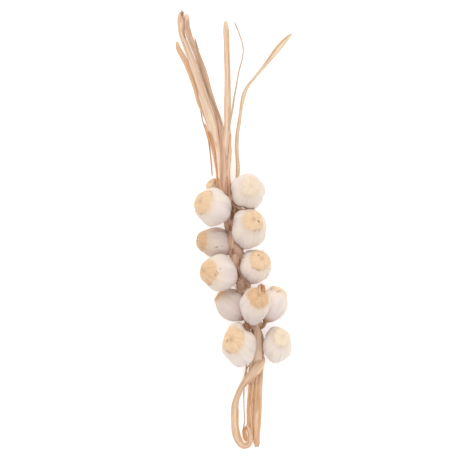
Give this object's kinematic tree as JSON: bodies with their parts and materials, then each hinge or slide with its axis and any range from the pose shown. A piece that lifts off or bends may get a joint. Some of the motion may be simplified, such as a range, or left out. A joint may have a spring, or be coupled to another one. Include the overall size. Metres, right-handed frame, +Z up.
{
  "type": "garlic braid",
  "caption": "Braid of dried garlic bulbs tied by their stems along a bundle of straw stalks, with loose stalk ends and a looped tail, lying with its shown side up.",
  "frame": {"origin": "on the surface it lies on, under the middle of the whole braid", "axes": "+Z up out of the shown side, +Y along the braid towards the loose stalk ends, +X to the right of the shown side"},
  "size_m": [0.1462, 0.549, 0.0738],
  "materials": {
    "garlic_skin": "matte papery skin",
    "dry_straw": "dry, fibrous, matte",
    "pale_leaf": "dry, thin, matte",
    "grey_thread": "dry, matte"
  },
  "bodies": {
    "root": {"bulb_top_back": "garlic_skin", "bulb_left_1": "garlic_skin", "bulb_left_2": "garlic_skin", "bulb_left_3": "garlic_skin", "bulb_left_4": "garlic_skin", "bulb_left_5": "garlic_skin", "bulb_right_1": "garlic_skin", "bulb_right_2": "garlic_skin", "bulb_right_3": "garlic_skin", "bulb_front": "garlic_skin", "bulb_right_4": "garlic_skin", "bulb_right_5": "garlic_skin", "stalk_bundle": "dry_straw", "stalk_left_long": "dry_straw", "stalk_left_inner": "dry_straw", "stalk_left_outer": "dry_straw", "stalk_middle": "dry_straw", "leaf_right": "pale_leaf", "thread_top": "grey_thread", "thread_left": "grey_thread", "tail_loop": "dry_straw", "tail_middle": "dry_straw", "tail_right": "dry_straw", "thread_tail": "grey_thread"}
  },
  "joints": []
}
